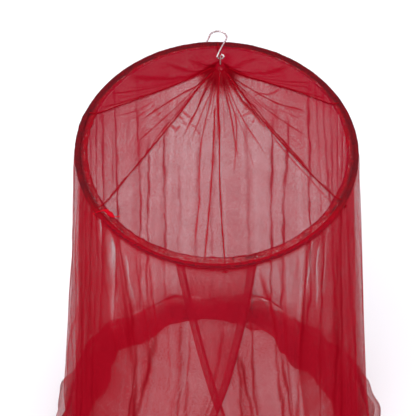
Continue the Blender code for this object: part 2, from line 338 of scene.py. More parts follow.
def makeNet(name):
    look = netLooks[name]
    material, tree, shader = newMaterial(name)
    # how many widths of cloth are gathered into one, and how much painted glow they get where light comes
    # through them, stored with each sheet
    gather = addNode(tree, "ShaderNodeAttribute", attribute_name="gather")["Fac"]
    paintedGlow = addNode(tree, "ShaderNodeAttribute", attribute_name="paintedGlow")["Fac"]
    tone = addDye(tree, netScales["dye"], *look["single"])["Color"]
    # the tone darkens as more net is gathered: partly the deeper red of stacked net, partly painted shade
    # between the layers
    tone = addMix(tree, addRange(tree, gather, *netLayers[:2]), tone, (*look["many"], 1))
    tone = addMix(tree, addRange(tree, gather, *netLayers[1:]), tone, (*look["deep"], 1))
    # painted glow: a lighter red where light comes through the cloth
    tone = addMix(tree, paintedGlow, tone, (*look["paintedGlow"], 1))
    tree.links.new(tone, shader["Base Color"])
    # the net is closer in some places than in others
    clouds = addNode(tree, "ShaderNodeGroup", {"Scale": netScales["clouds"]}, node_tree=unevenDye)["Value"]
    weave = {key.title(): look[key] for key in ("pitch", "closed", "grain")}
    weave["Open"] = addRange(tree, clouds, 0.3, 0.7, look["thin"], look["dense"])
    threads = addNode(tree, "ShaderNodeGroup", weave, node_tree=netThreads)
    # threads close up where the net is seen edge-on, as in any sheer cloth
    facing = addMath(tree, "SUBTRACT", 1.0, addNode(tree, "ShaderNodeLayerWeight")["Facing"])
    path = addMath(tree, "DIVIDE", gather, addMath(tree, "MAXIMUM", facing, look["slant"]))
    through = addMath(tree, "POWER", addMath(tree, "SUBTRACT", 1.0, threads["Cover"]), path)
    tree.links.new(addMath(tree, "SUBTRACT", 1.0, through), shader["Alpha"])
    tree.links.new(addBump(tree, threads["Height"], 0.15, 0.0003), shader["Normal"])
    shader["Roughness"].default_value = 0.9
    shader["IOR"].default_value = 1.0  # thin threads show no glancing highlight
    return material


materials = {name: makeNet(name) for name in netLooks}

cordTones = ((0.2, 0.0012, 0.005), (0.36, 0.003, 0.01))
tubeTones = ((0.03, 0.0035, 0.005), (0.075, 0.01, 0.013))
# the first steel tone is a painted reflection: the red net mirrored in the steel
steelTones = ((0.4, 0.22, 0.24), (0.82, 0.76, 0.77))


def makeCordMaterial(name, level):
    material, tree, shader = newMaterial(name)
    dye = addDye(tree, 160.0, *(tuple(value * level for value in tone) for tone in cordTones))
    tree.links.new(dye["Color"], shader["Base Color"])
    tree.links.new(addBump(tree, dye["Value"], 0.3, 0.0002), shader["Normal"])
    shader["Roughness"].default_value = 0.8
    shader["IOR"].default_value = 1.0
    return material


def makeSteelMaterial(name, level):
    material, tree, shader = newMaterial(name)
    scratchesAndReflection = addNoise(tree, 260.0, Detail=4)
    tree.links.new(addRange(tree, scratchesAndReflection, 0.0, 1.0, 0.08, 0.26), shader["Roughness"])
    # painted reflection: patches of the pinkish tone, from the same noise that varies the roughness; a lower
    # level makes them darker and redder
    redReflection, clean = ((r * level, g * level ** 1.6, b * level ** 1.6, 1) for r, g, b in steelTones)
    tree.links.new(addMix(tree, addRange(tree, scratchesAndReflection, 0.36, 0.62), redReflection, clean), shader["Base Color"])
    shader["Metallic"].default_value = 1.0
    return material


def makeTubeMaterial(name):
    material, tree, shader = newMaterial(name)
    noise = addNoise(tree, 90.0)
    dark, light = ((*tone, 1) for tone in tubeTones)
    tree.links.new(addMix(tree, noise, dark, light), shader["Base Color"])
    shader["Roughness"].default_value = 0.5
    shader["Specular IOR Level"].default_value = 0.2
    return material


materials["twistedCord"] = makeCordMaterial("twistedCord", 1.0)
materials["looseCord"] = makeCordMaterial("looseCord", 1.7)
materials["polishedNickel"] = makeSteelMaterial("polishedNickel", 1.0)
# the apex ring: darker and redder, a painted reflection of the red net round it
materials["redReflectionNickel"] = makeSteelMaterial("redReflectionNickel", 0.42)
materials["darkTube"] = makeTubeMaterial("darkTube")
print("materials made")

# helpers for cloth sheets and cords


def joinStrip(sheet, strip, edge):
    # a turned-under strip, listed from the edge inwards, joined to a sheet's first (0) or last (-1) column
    return np.concatenate([strip[:, ::-1], sheet] if edge == 0 else [sheet, strip], axis=1)


def lengthwise(rows):
    return np.linalg.norm(rows, axis=1)[:, None]


def addSheet(name, points, cloth, material, gather=None, paintedGlow=None, closed=False):
    # points: rows from top to bottom, columns from left to right seen from outside
    # cloth: the same places in flat metres; gather, and the painted glow where light comes through: one value
    # for each point
    rows, columns = points.shape[:2]
    deselectAll()
    bpy.ops.mesh.primitive_grid_add(x_subdivisions=columns - 1, y_subdivisions=rows - 1, size=1)
    sheet = bpy.context.object
    sheet.name = name
    mesh = sheet.data
    upward = points[::-1].reshape(-1, 3)
    mesh.vertices.foreach_set("co", np.ascontiguousarray(upward, dtype=np.float32).ravel())
    corner = np.empty(len(mesh.loops), dtype=np.int32)
    mesh.loops.foreach_get("vertex_index", corner)
    flat = cloth[::-1].reshape(-1, 2)[corner]
    mesh.uv_layers["UVMap"].data.foreach_set("uv", np.ascontiguousarray(flat, dtype=np.float32).ravel())
    for label, values, usual in (("gather", gather, 1.0), ("paintedGlow", paintedGlow, 0.0)):
        values = np.full(points.shape[:2], usual) if values is None else values
        stored = mesh.attributes.new(label, "FLOAT", "POINT")
        stored.data.foreach_set("value", np.ascontiguousarray(values[::-1], dtype=np.float32).ravel())
    if closed:
        bpy.ops.object.mode_set(mode="EDIT")
        bpy.ops.mesh.select_all(action="SELECT")
        bpy.ops.mesh.remove_doubles(threshold=0.00001)
        bpy.ops.object.mode_set(mode="OBJECT")
    mesh.materials.append(materials[material])
    bpy.ops.object.shade_smooth()
    mesh.update()
    return sheet


def clothSizes(points):
    # flat coordinates of a sheet, from its own lengths across and down
    across = np.linalg.norm(np.diff(points, axis=1), axis=2)
    across = np.concatenate([np.zeros((points.shape[0], 1)), across.cumsum(axis=1)], axis=1)
    down = np.linalg.norm(np.diff(points, axis=0), axis=2).mean(axis=1)
    down = np.concatenate([[0], down.cumsum()])
    middle = across[:, across.shape[1] // 2][:, None]
    return np.stack([across - middle, np.repeat(-down[:, None], points.shape[1], axis=1)], axis=-1)


def addTube(name, route, radius, material, twist=0.0):
    # a cord as a mesh round its route, which may give its own radii; twist is the relief of its two strands
    sides, strands = 10, 2
    route = np.asarray(route, dtype=float)
    radii = route[:, 3] if route.shape[1] == 4 else np.full(len(route), radius)
    route = route[:, :3]
    along = np.gradient(route, axis=0)
    along /= lengthwise(along)
    side = np.cross(along[0], (0.3, 0.5, 0.81))
    side /= np.linalg.norm(side)
    length = np.concatenate([[0], np.linalg.norm(np.diff(route, axis=0), axis=1).cumsum()])
    turn = (np.arange(sides) / sides * math.tau)[:, None]
    rings = []
    for centre, ahead, reach, travelled in zip(route, along, radii, length):
        side = side - ahead * side.dot(ahead)
        side /= np.linalg.norm(side)
        other = np.cross(ahead, side)
        relief = 1 + twist * np.cos(strands * (turn - travelled / (radius * 7) * math.tau / strands))
        rings.append(centre + reach * relief * (np.cos(turn) * side + np.sin(turn) * other))
    starts = range(0, (len(rings) - 1) * sides, sides)
    faces = []
    for start in starts:
        for s in range(sides):
            a, b = start + s, start + (s + 1) % sides
            faces.append((a, b, b + sides, a + sides))
    faces.append(tuple(reversed(range(sides))))
    faces.append(tuple(range(len(starts) * sides, len(rings) * sides)))
    mesh = bpy.data.meshes.new(name)
    mesh.from_pydata(np.concatenate(rings).tolist(), [], faces)
    mesh.shade_smooth()
    mesh.materials.append(materials[material])
    tube = bpy.data.objects.new(name, mesh)
    bpy.context.scene.collection.objects.link(tube)
    return tube


def smoothRoute(points, step):
    # a Catmull-Rom curve through the points, read about every step metres
    points = np.asarray(points, dtype=float)
    padded = np.vstack([2 * points[0] - points[1], points, 2 * points[-1] - points[-2]])
    found = []
    for a, b, c, d in zip(padded, padded[1:], padded[2:], padded[3:]):
        count = max(1, round(np.linalg.norm(c - b) / step))
        for t in np.arange(count) / count:
            bend = (2 * a - 5 * b + 4 * c - d) * t * t + (3 * b - 3 * c + d - a) * t ** 3
            found.append(0.5 * (2 * b + (c - a) * t + bend))
    return np.array([*found, points[-1]])


# curtain

curtain = {
    "edgeAzimuth": 16.0,  # each free edge starts this far past the front's middle
    "wrapGaps": (0.0022, 0.007),  # the last edge's distance over the first, at the hoop and lower down
    "wrapReach": 62.0,
    "topDrop": 0.0035,
    "topRadius": 0.2977,
    "flare": 0.112,
    "columns": 1000,
    "wallRows": 52,
    "wallEnd": 1.3,
    "seamGather": 3.0,  # widths added where it is stitched to the sleeve, and near the floor
    "footGather": 0.55,
    "footRamp": (1.22, 0.08),  # drop where that starts, and the length over which it grows
    "lowerRamp": (0.1, 0.35),  # the same for the change from the fullness at the hoop to that lower down
    "frontShadeShare": (0.85, 0.13),  # share added at the front, as painted shade, where the net is single, and where it is lapped
    "faintGather": 45,  # share added for each metre of a faint fold's depth
    "fullLimits": (0.12, 6),  # least and most widths of net in one, in the wall and in the pile
    "pileLimits": (0.42, 6),
    "seamTuck": 0.0014,  # caught in the sleeve's seam
    # drop, outward move of the left side
    "leftMoves": [
        (0, 0), (0.03, 0.006), (0.2, 0.003), (0.41, -0.004), (0.6, -0.003), (0.9, -0.008), (1.3, -0.005),
    ],
    "hem": 0.0185,  # width of the turned-in free edges
    # share of the hem's width from its folded edge inwards, widths of net in one: first and last free edge
    "hemLines": [
        [(0.01, 2.6), (0.07, 2.2), (0.11, 0.9), (0.6, 0.9), (0.68, 5.0), (0.96, 5.2), (1.0, 2.0)],
        [(0.01, 5.0), (0.22, 5.2), (0.3, 1.0), (0.52, 1.4), (0.9, 1.0), (0.93, 3.0), (1.0, 3.0)],
    ],
    "flat": (3.4, 1.93),
    "cut": 5.4,  # square metres: narrower at the hoop than at the floor
    "seed": 7,
    "swingDrop": 0.4,
    # azimuth at the hoop, degrees that the cloth has moved sideways by 0.4 m down and by the floor
    "swing": [
        (-16, 12.5, 44), (0, 8, 30), (14, 2, 17), (22, 5, 12), (38, -5, 4), (55, -3.5, -2), (72, -5, -3),
        (90, 0, 0), (270, 0, 0), (288, 7, 6), (306, 13, 8), (319, 10, 2), (330, 8, -6), (347, 0, -20),
        (376, -10.5, -44),
    ],
    # azimuth of the cloth at the hoop, widths of net gathered into one at the hoop and lower down
    "fullness": [
        (-16, 1.0, 1.4), (10, 1.0, 1.4), (18, 0.8, 0.95), (24.4, 0.76, 0.95), (25.2, 1.35, 1.5),
        (27.4, 1.35, 1.5), (28.2, 0.7, 0.92), (36.6, 0.72, 0.95), (38.4, 2.0, 2.3), (54, 2.3, 2.6),
        (59, 2.8, 3.0), (61, 2.0, 2.3), (70.5, 1.9, 2.2), (72.5, 0.5, 0.54), (80, 0.42, 0.5),
        (90, 0.4, 0.46), (97, 0.9, 0.9), (102, 1.6, 1.7), (110, 1.7, 2.2), (118, 1.5, 1.9), (123, 1.2, 1.2),
        (131, 1.0, 0.9), (164, 1.02, 0.92), (168, 1.15, 1.05), (176, 1.18, 1.1), (178, 1.05, 0.95),
        (199, 1.0, 0.9), (202, 1.2, 1.15), (206, 1.2, 1.15), (207.5, 0.92, 0.88), (211.2, 0.92, 0.88),
        (212.2, 1.1, 1.25), (215.4, 1.1, 1.25), (217, 0.92, 0.9), (228, 0.95, 0.92), (240, 1.25, 1.05),
        (248, 1.5, 1.3), (257, 1.8, 1.6), (262, 1.0, 0.9), (267, 0.4, 0.42), (276, 0.38, 0.4),
        (286.6, 0.46, 0.5), (288.6, 2.6, 3.0), (300, 2.9, 3.3), (313, 2.1, 2.5), (319, 1.45, 1.5),
        (324, 1.15, 1.25), (340, 0.95, 1.2), (376, 0.95, 1.4),
    ],
    # thin folds, dark where the net is gathered (or light where it is open), azimuth at 0, 0.2, 0.45 and
    # 0.75 m down, the drops where they start and end, half width in mm, widths of net added
    "lines": [
        (229.5, 226.5, 224.1, 223.6, -0.1, 9, 2.2, 1.5), (230.5, 229, 226.5, 225.5, 0.18, 0.5, 2.0, 0.6),
        (239, 235.8, 233.0, 232.2, -0.1, 9, 4.5, 1.3), (243, 240.5, 238.9, 236, -0.1, 9, 2.4, 1.2),
        (247, 244.6, 243, 240, -0.1, 9, 2.4, 1.0), (251.5, 249.5, 247.5, 245, -0.1, 9, 3.0, 1.3),
        (216.2, 215.7, 213.2, 211.7, -0.1, 9, 2.2, 1.0), (210, 209.5, 208.7, 208.4, 0.33, 9, 2.0, 1.3),
        (200.5, 201, 202.6, 201, 0.28, 9, 2.3, 1.0), (221, 219.7, 220, 220, 0.16, 0.32, 2.6, 0.4),
        (195, 195.6, 196, 195, 0.5, 9, 2.4, 0.3), (187.4, 187.4, 187.5, 188, -0.1, 9, 2.6, 0.35),
        (179.8, 180, 180.5, 181.8, -0.1, 9, 2.6, 0.4), (169, 168.5, 167.4, 166.7, 0.3, 9, 3.4, 0.4),
        (155, 154.5, 154.8, 155, 0.2, 0.34, 2.8, 0.6), (155, 155.6, 157.2, 157.3, 0.26, 9, 2.5, 1.5),
        (148, 148.3, 150.6, 152.1, 0.24, 9, 2.5, 1.4), (137.8, 138.6, 139, 139.3, 0.02, 9, 2.4, 1.6),
        (134.5, 133.9, 132.9, 133.5, -0.1, 9, 2.0, 0.7), (129, 128.4, 127.2, 127, -0.1, 9, 3.4, 1.0),
        (124, 124.4, 125.5, 126.5, -0.1, 9, 2.2, 0.9), (119, 119.6, 121, 122, -0.1, 9, 2.6, 0.9),
        (114.5, 115.5, 117, 117, -0.1, 9, 2.2, 1.1), (110, 111.5, 113, 112, -0.1, 9, 2.6, 1.0),
        (112, 113.5, 115, 115, -0.1, 0.2, 2.0, -1.8), (117, 117.6, 118, 118, 0.0, 0.3, 1.6, -1.2),
        (106, 108, 109, 109, 0.02, 0.24, 2.0, -1.8), (249.3, 247.2, 245, 243, -0.1, 0.2, 1.6, -1.2),
        (254.5, 252, 250, 248, -0.1, 0.22, 1.8, -1.6), (-49.8, -45.6, -42, -40, -0.1, 0.17, 2.8, 1.0),
        (-53.2, -49.9, -47, -46, -0.1, 0.1, 3.4, -1.8), (-46.6, -43.7, -42.1, -42, 0.0, 0.36, 7.5, -2.2),
        (-44.6, -36.8, -32.6, -30, -0.1, 9, 5.0, 0.9), (-41.9, -34.2, -31.0, -30, -0.1, 9, 2.8, 1.5),
        (-39.6, -32.9, -29.5, -28, 0.02, 0.24, 2.2, -1.0), (-33.2, -27.9, -25, -23, 0.0, 0.26, 2.2, 0.9),
        (-28.9, -26.4, -24, -22, -0.1, 0.26, 5.0, 0.35), (-27.2, -23.8, -22, -20, 0.0, 0.24, 2.2, 1.0),
        (-22.3, -21.3, -26.7, -32, 0.22, 0.9, 4.0, 1.6), (-18.5, -17.6, -17, -17, 0.0, 0.2, 3.0, 0.4),
        (-13.2, -13.0, -12.9, -14, 0.16, 9, 2.2, 1.0), (-10.2, -9.7, -9.9, -11, 0.22, 9, 1.9, 0.9),
        (13.4, 13.5, 14.5, 17, 0.16, 9, 1.9, 1.3), (6.6, 6.3, 2.0, -6, 0.17, 9, 8.0, 0.06),
        (3.6, 3.3, -1.3, -9, 0.19, 9, 2.0, 0.8), (7.9, 7.9, 9.2, 11, 0.28, 9, 2.0, 1.4),
        (6.4, 6.4, 11.9, 19, 0.28, 9, 2.2, 1.6), (7.2, 7.2, 10.6, 15, 0.33, 9, 4.5, 0.6),
        (16.8, 22.5, 24.5, 27, 0.01, 9, 2.3, 1.6), (24.2, 23.5, 26.9, 31, 0.33, 9, 2.2, 1.5),
        (33, 32.4, 31, 30, 0.0, 0.12, 2.2, 0.4), (38.2, 36.2, 33.2, 32, -0.1, 9, 3.2, 0.9),
        (41.2, 38.0, 36, 35, -0.1, 0.2, 3.2, -1.6), (45.2, 43.8, 42.5, 42, 0.02, 0.28, 2.6, -2.8),
        (50.2, 47.2, 45, 44, -0.1, 0.27, 2.2, -1.8), (47.6, 45.8, 44, 43, -0.1, 9, 2.4, 0.9),
        (56.2, 54.2, 52, 50, 0.1, 9, 3.4, 1.4), (59.0, 57.5, 55.5, 53.4, -0.1, 9, 2.4, 1.3),
        (66, 64, 62.5, 61, 0.05, 9, 2.2, 0.7), (72.0, 69.2, 67.2, 66, -0.1, 9, 2.2, 0.9),
        (76.4, 77, 80.8, 82, 0.1, 9, 1.8, 0.8), (82.5, 84, 85.5, 87, -0.1, 9, 1.8, 0.8),
        (-60, -57.4, -54, -52, -0.1, 9, 2.6, 0.9), (-64.5, -62, -60, -58, 0.05, 9, 2.2, -0.5),
        (-67.6, -64.6, -62, -60, -0.1, 9, 2.4, 1.0), (-73.4, -71.6, -67.9, -64, -0.1, 9, 2.2, 1.0),
        (-80, -82.0, -74, -68, 0.2, 9, 1.8, 0.7), (-86, -87, -88, -86, -0.1, 9, 1.8, 0.6),
        (-66, -66, -66.8, -77.4, 0.42, 0.9, 2.4, 0.9), (-26, -25.8, -28.3, -33, 0.25, 0.9, 11.0, 0.4),
        (-31, -30.5, -31.5, -34, 0.3, 0.9, 2.2, 1.3),
    ],
    "stations": (0.0, 0.2, 0.45, 0.75),
    "lineFade": 0.06,
    "bellPerMm": 1 / 800,  # reach of a fold's bell for each mm of its half width
    "darker": 2.0,  # times the widths of net that a fold's row gives, for dark folds and for light ones
    "lighter": 1.2,
    "lineRelief": 0.0022,  # how far out a fold stands for each of those widths, and how much wider it is then
    "reliefSpread": 2.2,
    "smallFolds": 70,
    # surplus length on the floor: radius and height of each bend's two ends, from the top layer down
    "pile": [
        (0.452, 0.042), (0.463, 0.027), (0.38, 0.025), (0.374, 0.019), (0.464, 0.019), (0.468, 0.0128),
        (0.378, 0.0128), (0.372, 0.0067), (0.478, 0.0067), (0.484, 0.001), (0.386, 0.001),
    ],
    # waves to a turn, depth, phase and turn from layer to layer in degrees
    "pileWaves": [
        (5, 0.005, 40, 22), (9, 0.0046, 110, 22), (14, 0.0036, 10, 22), (22, 0.0022, 80, 22),
        (23, 0.0022, 0, 70), (41, 0.0014, 0, -90),
    ],
    "pileStep": 0.0235,
    "pileRim": 0.424,  # radius where the pile's looser outer part, with more painted glow, starts
    "pileReach": (0.372, 0.484),  # the inmost and the outmost bends
    "pileLift": 0.25,
    "pileRipple": 0.0022 / 0.03,
    # azimuth and reach, in degrees, of the places where more net lies together
    "pileThick": [(137, 8), (176, 9), (190, 6), (226, 9), (238, 6), (292, 20), (70, 18)],
    # azimuth, move of the pile's outer and inner radius
    "pileShift": [
        (0, 0.000, 0.000), (60, 0.002, -0.02), (100, 0.004, -0.012), (120, 0.002, -0.03),
        (131, -0.02, -0.052), (143, -0.03, -0.05), (150, -0.026, -0.01), (157, -0.014, 0.002),
        (164, 0.000, 0.004), (172, -0.022, 0.000), (183, -0.034, -0.002), (190, -0.02, 0.004),
        (197, -0.006, 0.006), (204, -0.014, 0.003), (210, -0.016, -0.006), (219, 0.004, -0.008),
        (228, -0.002, 0.024), (236, 0.000, 0.01), (246, -0.01, -0.016), (262, -0.022, -0.006),
        (284, -0.015, -0.008), (300, 0.002, -0.022), (330, -0.004, -0.004), (360, 0.000, 0.000),
    ],
}


def edgeSwing(azimuth, drop):
    # degrees that the cloth has moved sideways on its way down
    upper, lower = readTable(curtain["swing"], azimuth)
    first = np.clip(drop / curtain["swingDrop"], 0, 1)
    rest = np.clip((drop - curtain["swingDrop"]) / (place["fall"] - curtain["swingDrop"]), 0, 1)
    return upper * first + (lower - upper) * rest


def wrapOffset(azimuth, drop):
    # the last free edge laps outside the first
    share = smoothStep(1 - (360 + curtain["edgeAzimuth"] - azimuth) / curtain["wrapReach"])
    atHoop, below = curtain["wrapGaps"]
    return share * (atHoop + (below - atHoop) * ramp(drop, curtain["topDrop"], 0.12))


def smallFolds():
    # faint folds between the main ones, each with its drift, depth, width, start and end
    rng = random.Random(curtain["seed"])
    folds = []
    for number in range(curtain["smallFolds"]):
        azimuth = -10 + 380 * (number + rng.uniform(0.1, 0.9)) / curtain["smallFolds"]
        start = rng.choice((-0.1, -0.1, 0.1, 0.3, 0.55))
        end = rng.choice((0.35, 0.6, 9.0, 9.0))
        depth = rng.choice((-1, 1)) * rng.uniform(0.002, 0.005)
        width = rng.uniform(2.2, 4.5)
        folds.append((azimuth, rng.uniform(-4, 4), depth, width, rng.uniform(0, 6.28), start, end))
    return folds


faintFolds = smallFolds()


def frontShadeDensity(azimuth, drop):
    # denser net on the front's lower part: painted shade, standing in for the shaded floor seen through it;
    # most is added beside the lap, where the net isn't doubled already
    truly = azimuth + edgeSwing(azimuth, drop)
    edge = curtain["edgeAzimuth"]
    firstHem = -edge + edgeSwing(np.array([-edge]), drop[:1])
    lastHem = edge + edgeSwing(np.array([360 + edge]), drop[:1])
    atFirst, atLast = smoothStep((lastHem - truly) / 1.5), smoothStep((truly - 360 - firstHem) / 1.5)
    lapped = np.where(azimuth < 180, atFirst, atLast)
    front = ramp(np.cos(np.radians(truly)), 0.72, 0.2)
    deeper = ramp(drop, 0.16, 0.08) * (1 - 0.4 * ramp(drop, 0.3, 0.12))
    single, doubled = curtain["frontShadeShare"]
    return (1 + front * deeper * (single + (doubled - single) * lapped)) * (1 + 0.08 * lapped)


def foldField(azimuth, drop):
    # outward move in metres and widths of cloth gathered into one
    atHoop, below = readTable(curtain["fullness"], azimuth)
    lower = ramp(drop, *curtain["lowerRamp"])
    gather = atHoop * (1 - lower) + below * lower
    gather = gather + curtain["seamGather"] * (1 - ramp(drop, curtain["topDrop"], 0.012))
    gather = gather + curtain["footGather"] * ramp(drop, *curtain["footRamp"])
    # painted shade: the front is made denser
    gather = gather * frontShadeDensity(azimuth, drop)
    outward = np.zeros_like(azimuth)
    for centre, drift, depth, width, phase, start, end in faintFolds:
        middle = centre + drift * drop / place["fall"] + 0.3 * np.sin(drop * 4.1 + phase)
        fold = bell(azimuth - middle, width / 2)
        strength = ramp(drop, start, 0.2) * (1 - ramp(drop, end, 0.25))
        outward += fold * depth * strength
        gather = gather * (1 + curtain["faintGather"] * depth * fold ** 2 * strength)
    # the main folds, where the photo has them, each with its own small wobbles
    truly = azimuth + edgeSwing(azimuth, drop)
    radius = curtain["topRadius"] + curtain["flare"] * drop
    fade = curtain["lineFade"]
    for number, (*stations, start, end, half, added) in enumerate(curtain["lines"]):
        middle = np.interp(drop, curtain["stations"], stations)
        middle = middle + 0.25 * np.sin(drop * 17 + number) + 0.24 * np.sin(drop * 46 + 2 * number)
        middle = middle + 0.14 * np.sin(drop * 93 + 3.7 * number) * smoothStep(1.2 - drop)
        metres = np.radians(turnFrom(truly, middle)) * radius
        strength = ramp(drop, start, fade) * (1 - smoothStep((drop - end + fade) / fade))
        strength = strength * (0.85 + 0.3 * np.sin(drop * 14 + 1.7 * number))
        swell = 1 + 0.35 * np.sin(drop * 13 + number) * np.sin(drop * 31 + 2 * number)
        swell = swell * half * curtain["bellPerMm"]
        times = curtain["darker" if added > 0 else "lighter"]
        gather = gather + times * added * bell(metres, swell) * strength
        relief = curtain["lineRelief"] * added * bell(metres, curtain["reliefSpread"] * swell)
        outward = outward + relief * strength
    return outward * ramp(drop, -0.01, 0.07), np.clip(gather, *curtain["fullLimits"])


def pileShift(azimuth):
    # outward moves of the pile's outer and inner bends
    return readTable(curtain["pileShift"], np.mod(azimuth, 360))


def wallPoints(azimuth, drop):
    outward, gather = foldField(azimuth, drop)
    topDrop = curtain["topDrop"]
    slow = 0.004 * np.sin(np.radians(azimuth * 5 + 40) + drop * 2.3) * smoothStep(drop / 0.3)
    slow = slow + readTable(curtain["leftMoves"], drop)[0] * bell(azimuth - 270, 22)
    slow = slow + 0.8 * pileShift(azimuth)[0] * ramp(drop, 1.05, 0.25)
    # the right side bulges just below the hoop
    slow = slow + 0.004 * bell(azimuth - 90, 20) * smoothStep(drop / 0.02) * (1 - smoothStep(drop / 0.12))
    radius = curtain["topRadius"] + curtain["flare"] * (drop - topDrop) + outward + slow
    radius = radius + wrapOffset(azimuth, drop)
    radius = radius - curtain["seamTuck"] * (1 - ramp(drop, topDrop, 0.008))
    return around(azimuth + edgeSwing(azimuth, drop), radius, place["hoopZ"] - drop), gather


def pilePoints(azimuth, layer, radius, height):
    moved = wrapOffset(azimuth, 1.0)
    for count, depth, phase, turn in curtain["pileWaves"]:
        moved = moved + depth * wave(count * azimuth + phase + turn * layer)
    inmost, outmost = curtain["pileReach"]
    share = (radius - inmost) / (outmost - inmost)
    outer, inner = pileShift(azimuth)
    moved = moved + share * outer + (1 - share) * inner
    moved = moved + 0.006 * wave(19 * azimuth + 37 * layer) * wave(7 * azimuth - 20 * layer) * (0.4 + share)
    lift = 1 + curtain["pileLift"] * wave(3 * azimuth + 60) * wave(7 * azimuth)
    lift = lift + curtain["pileRipple"] * wave(31 * azimuth + 40 * layer)
    lowest = curtain["pile"][-1][1]
    swing = edgeSwing(azimuth, place["fall"] + 0 * azimuth)
    return around(azimuth + swing, radius + moved, place["floorZ"] + lowest + (height - lowest) * lift)


def foldPile(azimuths):
    # the wall's last stretch and the surplus on the floor, as one smooth section
    apart = 40  # keeps the layer's number from counting as a length
    corners = [(*corner, layer / apart) for layer, corner in enumerate(curtain["pile"])]
    section = smoothRoute(corners, curtain["pileStep"]) * (1, 1, apart)
    angle = np.radians(azimuths)
    clumps = 0.5 * np.sin(angle * 11 + 1) * np.sin(angle * 4)
    clumps = clumps + 0.3 * np.sin(angle * 29 + 2) * np.sin(angle * 7 + 1)
    rim = curtain["pileRim"] + 0.007 * np.sin(angle * 6 + 2) + 0.004 * np.sin(angle * 15)
    thick = sum(bell(azimuths - middle, reach) for middle, reach in curtain["pileThick"])
    points, gather, paintedGlow = [], [], []
    for radius, height, layer in section:
        points.append(pilePoints(azimuths, layer, radius, height))
        stacked = ramp(layer, 0.3, 0.7)
        under = ramp(layer, 2.3, 0.7)
        own = np.sin(angle * 17 + 2.27 * layer) * np.sin(angle * 5 + 1.05 - 0.7 * layer)
        outer = ramp(radius + 0.004 * np.sin(angle * 9 + 3 * layer), rim, 0.022)
        loose = (1 - 0.6 * outer * under) * (1 - 0.35 * ramp(radius, 0.45, 0.02) * under)
        # the top fold's rim has little net beneath it
        foot = 0.3 * (1 - under) * np.maximum(outer, 1 - stacked)
        packed = 0.7 + (0.4 * own + 0.45 * clumps + 0.7 * thick * (1 - outer)) * stacked
        gather.append(packed * loose + foot)
        # painted glow on the stacked layers, strongest on their outer part
        paintedGlow.append(stacked * (0.25 + 0.6 * outer) + 0 * angle)
    return np.array(points), np.clip(gather, *curtain["pileLimits"]), np.array(paintedGlow)


def turnHems(points, gather, paintedGlow):
    # each free edge is turned in as a hem
    for edge, sign in ((0, 1), (-1, -1)):
        rim = points[:, edge]
        outwards = rim[:, :2] / lengthwise(rim[:, :2])
        tangent = np.stack([-outwards[:, 1], outwards[:, 0], 0 * outwards[:, 0]], axis=1) * sign
        strip = []
        for share, _ in curtain["hemLines"][edge]:
            step = rim + tangent * curtain["hem"] * share
            step[:, :2] -= outwards * (0.0012 + 0.002 * share * (1 - share))
            strip.append(step)
        widths = [full for _, full in curtain["hemLines"][edge]]
        points = joinStrip(points, np.stack(strip, axis=1), edge)
        gather = joinStrip(gather, np.tile([widths], (len(points), 1)), edge)
        paintedGlow = joinStrip(paintedGlow, np.tile(paintedGlow[:, edge][:, None], (1, len(widths))), edge)
    return points, gather, paintedGlow


def addCurtain():
    edge, top, end = (curtain[name] for name in ("edgeAzimuth", "topDrop", "wallEnd"))
    azimuths = np.linspace(-edge, 360 + edge, curtain["columns"])
    steps = np.linspace(0, 1, curtain["wallRows"]) ** 1.25
    wall = [wallPoints(azimuths, np.full_like(azimuths, drop)) for drop in top + (end - top) * steps]
    grid, full = (np.array(rows) for rows in zip(*wall))
    pile, packed, lit = foldPile(azimuths)
    paintedGlow = np.concatenate([np.zeros_like(full), lit])
    points, gather, paintedGlow = turnHems(np.concatenate([grid, pile]), np.concatenate([full, packed]), paintedGlow)
    sheet = addSheet("curtainNet", points, clothSizes(points), "wallNet", gather, paintedGlow)
    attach(sheet, "root")
    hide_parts("curtain")
    return sheet


curtainNet = addCurtain()
print("curtain hung,", len(curtainNet.data.polygons), "faces")

# crown

